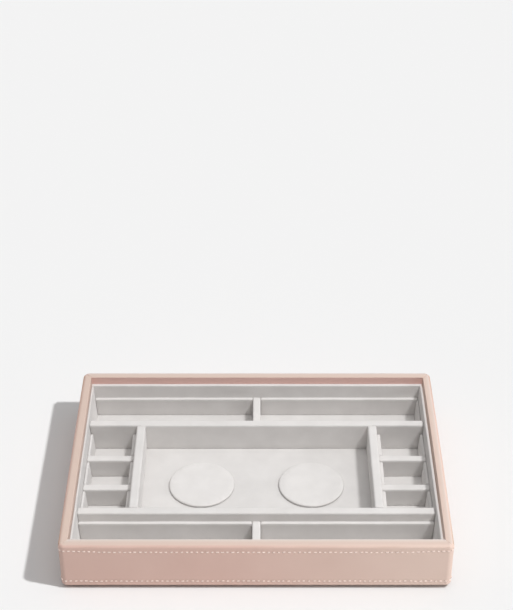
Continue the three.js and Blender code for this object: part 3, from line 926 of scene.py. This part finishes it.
def leaned(x, z):
    """X after the lean: a point near an end comes in by its depth below the lining's top, less so behind
    the lining's face and not at all at its back."""
    below = (lining_high.z - z) / (lining_high.z - lining_low.z)
    share = np.clip((frame_half - np.abs(x)) / (frame_half - room_half), 0.0, 1.0)
    return x - np.sign(x) * END_LEAN * below * share * (np.abs(x) > ENDS_BEGIN)


print("linings come in by", END_LEAN / MM, "mm from", round(room_half / MM, 2), "mm")

# %% One soft strip
CAP_STEPS = 4
SIDE_STEPS = 6
STRIP_STEP = 2.5 * MM
STRIP_CORNER = 0.7 * MM
STRIP_CORNER_STEPS = 5
BEND_WAVES = 40 * MM
RISE_WAVES = 30 * MM


def draw_in(height, top, radius):
    """How far a quarter round of this radius has drawn in at a height: radius minus the root of radius
    squared minus the climb above its start squared."""
    climb = np.clip(height - (top - radius), 0.0, radius)
    return radius - np.sqrt(radius**2 - climb**2)


def strip_rows(low, high, edge, end, foot, run_axis):
    """Level by level from the middle of the underside to the middle of the top: height, draw-in along X and
    along Y, and the cap's share of the way to the middle line."""
    turn = np.linspace(0.0, np.pi / 2, ROUND_STEPS)
    tallest = max(edge, end)
    foot_height = low + foot * (1 - np.cos(turn[::2]))
    side_height = np.linspace(low + foot, high - tallest, SIDE_STEPS)[1:-1]
    top_height = high - tallest * (1 - np.sin(turn))
    cap = np.linspace(0.0, 1.0, CAP_STEPS + 1)[1:]
    height = np.concatenate([0 * cap + low, foot_height, side_height, top_height, 0 * cap + high])
    foot_in = draw_in(-height, -low, foot)
    across = draw_in(height, high, edge) + foot_in
    lengthways = draw_in(height, high, end) + foot_in
    middle = np.concatenate([cap[::-1], 0 * foot_height, 0 * side_height, 0 * top_height, cap])
    return (height, lengthways, across, middle) if run_axis == 0 else (height, across, lengthways, middle)


def soft_strip(node, box, edge, end, foot, uneven, seed, material, corner=STRIP_CORNER, leans=False):
    """A strip in a solid's place. Every level is a rounded rectangle drawn in as its row says, the caps
    close on the strip's middle line, and slow waves keep it from looking machined."""
    low, high = (np.array(limit) for limit in box)
    half = (high - low)[:2] / 2
    centre = (low + high) / 2
    run_axis = int(np.argmax(half))
    height, in_x, in_y, middle = strip_rows(low[2], high[2], edge, end, foot, run_axis)
    half_x, half_y = half[0] - in_x, half[1] - in_y
    to_middle = middle * np.minimum(half_x, half_y)
    walk = outline_walk(*(even_steps(length, STRIP_STEP) for length in 2 * half), STRIP_CORNER_STEPS)
    radius = np.maximum(corner - to_middle, 0.0)
    x, y = outline_points(walk, half_x - to_middle, half_y - to_middle, radius)
    z = height[:, None] + 0 * x
    bend = uneven * slow_waves(x + y, z, BEND_WAVES, seed)
    rise = uneven * slow_waves(x + y, 0 * z, RISE_WAVES, seed + 1) * (z - low[2]) / (high[2] - low[2])
    x = centre[0] + x + bend * (run_axis == 1)
    y = centre[1] + y + bend * (run_axis == 0)
    if leans:
        x = leaned(x, z)
    points = np.stack([x, y, z + rise - uneven], axis=-1)
    piece = new_piece("soft_" + node, points, grid_quads(*points.shape[:2]), material)
    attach(piece, "root")
    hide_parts(node)
    return piece


print("a strip's cap has", CAP_STEPS, "rows to its middle line")

# %% All the strips, by kind
# How round the long edges, the ends and the foot are, and how uneven the strip is, in millimetres.
STRIPS = {
    "_lining": (0.8, 0.4, 0.3, 0.06),
    "_divider": (1.3, 0.9, 0.5, 0.08),
    "_partition": (1.1, 0.8, 0.5, 0.07),
    "_end_rail": (0.6, 2.6, 0.3, 0.05),
    "_back_rail": (0.8, 1.0, 0.4, 0.07),
    "_front_rail": (0.8, 1.0, 0.4, 0.07),
    "_rail": (0.8, 2.6, 0.4, 0.07),
}
# The velvet of each kind of strip, with its painted shade. Every name has the last ending.
PILES = {
    "rear_divider": rear_velvet_painted_shade,
    "_row_partition": cell_velvet_painted_shade,
    "_partition": column_velvet_painted_shade,
    "_outer_rail": velvet,
    "_rail": cell_velvet_painted_shade,
    "": velvet,
}


def by_ending(kinds, node):
    """What the first kind says whose ending this node's name has."""
    return next((what for ending, what in kinds.items() if node.endswith(ending)), None)


FIRST_SEED = 100
strip_nodes = [
    node for node in sorted(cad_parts) if by_ending(STRIPS, node) and node != "floor_lining"]
for number, node in enumerate(strip_nodes):
    shape = [size * MM for size in by_ending(STRIPS, node)]
    seed = FIRST_SEED + 2 * number
    strip = soft_strip(node, upright_box(node), *shape, seed, by_ending(PILES, node), leans=True)
print(len(strip_nodes), "velvet strips")

# %% [markdown]
# ## Floor, plinth and felt
# The floor is a velvet-covered card that lies on the base. Under the tray an inset plinth, covered in
# the same velvet, drops into the rim of the tray below, with a sheet of felt glued under it. All three
# are low slabs, so the strip's formula makes them too, with small roundings.

# %% Felt
FELT_PALE = (0.53, 0.49, 0.46)
FELT_DEEP = (0.44, 0.41, 0.38)
CLUMP_WIDTH = 4 * MM
FIBRE_WIDTH = 0.6 * MM
FIBRE_DEPTH = 0.2 * MM


def felt_finish(name):
    """Pressed wool: soft clumps in two greys, and fibres that run in no one direction."""
    material, tree, shader, place = start_finish(name)
    set_inputs(tree, shader, {
        "Base Color": two_tone(tree, noise(tree, place, CLUMP_WIDTH, detail=5.0), FELT_DEEP, FELT_PALE),
        "Normal": bump(tree, noise(tree, place, FIBRE_WIDTH, detail=4.0), FIBRE_DEPTH, strength=0.7),
        "Roughness": 1.0,
        "Sheen Weight": 0.2,
    })
    return material


felt = felt_finish("felt")
print("felt tones", FELT_PALE, FELT_DEEP)

# %% Low slabs
FLOOR_ROUND = 0.25 * MM
PLINTH_ROUND = 0.7 * MM
FELT_ROUND = 0.2 * MM
PLINTH_CORNER = 2.0 * MM
SLAB_WAVES = 0.03 * MM
FOOT_SHARE = 0.6


def low_slab(node, rounding, uneven, seed, material, corner):
    """A slab that lies level in its solid's box, rounded alike along its edges and ends."""
    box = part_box(node)
    foot = FOOT_SHARE * rounding
    slab = soft_strip(node, box, rounding, rounding, foot, uneven, seed, material, corner)


low_slab("floor_lining", FLOOR_ROUND, SLAB_WAVES, 301, velvet, STRIP_CORNER)
low_slab("stacking_plinth", PLINTH_ROUND, SLAB_WAVES, 303, velvet, PLINTH_CORNER)
low_slab("plinth_felt", FELT_ROUND, 0.0, 305, felt, PLINTH_CORNER)

# %% [markdown]
# ## Bracelet pads
# The two round pads are thin foam discs with velvet drawn over them and glued under the edge. The foam
# pushes the velvet out, so a pad starts as a slightly smaller disc and is swollen by Blender's cloth:
# its foot is pinned, where it is glued, and pressure from inside does the rest. Cloth is tuned for
# furniture sizes, so the pad is made ten times its size, swollen there, and brought back. Both pads
# are alike, so one simulation serves both, turned half round for the second.

# %% A pad before it swells
LARGE = 10.0
PAD_SLACK = 0.25 * MM
PAD_BULGE = 1.1 * MM
PAD_CROWN = 0.3 * MM
PAD_TURNS = 96
UNDER_RINGS = 6
SIDE_RINGS = 15
OVER_RINGS = 14
pad_low, pad_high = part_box("left_bracelet_pad")
pad_radius = (pad_high.x - pad_low.x) / 2
pad_height = pad_high.z - pad_low.z


def slack_pad(radius, height, bulge, crown):
    """A disc as rings by turns: flat underneath, a side that swells like half an ellipse, and a crown that
    falls with the square of the distance from the axis."""
    shoulder = radius - bulge
    side_half = (height - crown) / 2
    under = np.linspace(0.0, 1.0, UNDER_RINGS)[:-1] * shoulder
    angle = np.linspace(-np.pi / 2, np.pi / 2, SIDE_RINGS)
    over = np.linspace(1.0, 0.0, OVER_RINGS)[1:] * shoulder
    out = np.concatenate([under, shoulder + bulge * np.cos(angle), over])
    rise = np.concatenate([0 * under, side_half * (1 + np.sin(angle)),
                           2 * side_half + crown * (1 - (over / shoulder) ** 2)])
    turn = 2 * np.pi * np.arange(PAD_TURNS) / PAD_TURNS
    x = out[:, None] * np.cos(turn)
    y = out[:, None] * np.sin(turn)
    return np.stack([x, y, rise[:, None] + 0 * turn], axis=-1)


slack_grid = slack_pad(pad_radius - PAD_SLACK, pad_height - PAD_SLACK, PAD_BULGE, PAD_CROWN)
large_pad = new_piece("large_pad", LARGE * slack_grid, grid_quads(*slack_grid.shape[:2]), velvet)

# %% Swell it as cloth
VOXEL = 5 * MM
GLUED_UP_TO = 4 * MM
PRESSURE = 4.0
CLOTH_FRAMES = 20
SWELL_CAP = LARGE * PAD_SLACK


def worked_mesh(piece):
    """The mesh that a piece has after its modifiers, as a mesh of its own."""
    return bpy.data.meshes.new_from_object(piece.evaluated_get(bpy.context.evaluated_depsgraph_get()))


def all_points(mesh):
    """The points of a mesh as one array."""
    points = np.empty(3 * len(mesh.vertices))
    mesh.vertices.foreach_get("co", points)
    return points.reshape(-1, 3)


even = large_pad.modifiers.new("even", "REMESH")
even.mode = "VOXEL"
even.voxel_size = VOXEL
large_pad.data = worked_mesh(large_pad)
large_pad.modifiers.clear()
slack_points = all_points(large_pad.data)
glued = large_pad.vertex_groups.new(name="glued")
glued.add(np.flatnonzero(slack_points[:, 2] < GLUED_UP_TO).tolist(), 1.0, "REPLACE")
cloth = large_pad.modifiers.new("swell", "CLOTH")
cloth.settings.vertex_group_mass = "glued"
cloth.settings.use_pressure = True
cloth.settings.uniform_pressure_force = PRESSURE
cloth.settings.effector_weights.gravity = 0.0
for frame_number in range(1, CLOTH_FRAMES + 1):
    scene.frame_set(frame_number)
swell = all_points(worked_mesh(large_pad)) - slack_points
swell_size = np.linalg.norm(swell, axis=1, keepdims=True)
swell = swell * np.minimum(1.0, SWELL_CAP / np.maximum(swell_size, WELD))
pad_corners = np.empty(len(large_pad.data.loops), dtype=int)
large_pad.data.loops.foreach_get("vertex_index", pad_corners)
full_points = (slack_points + swell) / LARGE
print("points:", len(swell), "largest swell in mm:", round(float(swell_size.max()) / LARGE / MM, 2))
scene.frame_set(1)
bpy.data.objects.remove(large_pad)

# %% Both pads in their places
for node, turned in (("left_bracelet_pad", 1.0), ("right_bracelet_pad", -1.0)):
    pad_low, pad_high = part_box(node)
    foot = np.array([(pad_low.x + pad_high.x) / 2, (pad_low.y + pad_high.y) / 2, pad_low.z])
    pad_points = full_points * np.array([turned, turned, 1.0]) + foot
    pad = new_piece("soft_" + node, pad_points, pad_corners.reshape(-1, 4), pad_velvet_painted_shade)
    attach(pad, "root")
    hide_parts(node)

# %% [markdown]
# ## Board box
# The boards under the skin keep their plain solids, because nothing of them shows.

# %% Fibreboard
BOARD_PALE = (0.50, 0.32, 0.17)
BOARD_DEEP = (0.40, 0.24, 0.12)
FLECK_WIDTH = 1.5 * MM
FLECK_STRETCH = (0.3, 1.0, 1.0)
FLECK_DEPTH = 0.05 * MM


def fibreboard_finish(name):
    """Pressed wood fibre: fine flecks, longer along the board."""
    material, tree, shader, place = start_finish(name)
    flecks = noise(tree, place, FLECK_WIDTH, detail=5.0, stretch=FLECK_STRETCH)
    set_inputs(tree, shader, {
        "Base Color": two_tone(tree, flecks, BOARD_DEEP, BOARD_PALE),
        "Normal": bump(tree, flecks, FLECK_DEPTH, strength=0.4),
        "Roughness": 0.85,
    })
    return material


fibreboard = fibreboard_finish("fibreboard")
boards = [node for node in sorted(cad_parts) if node.endswith("_board")]
for node in boards:
    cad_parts[node].material_slots[0].material = fibreboard
    tray_pieces.objects.link(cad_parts[node])
print("boards that stay:", boards)
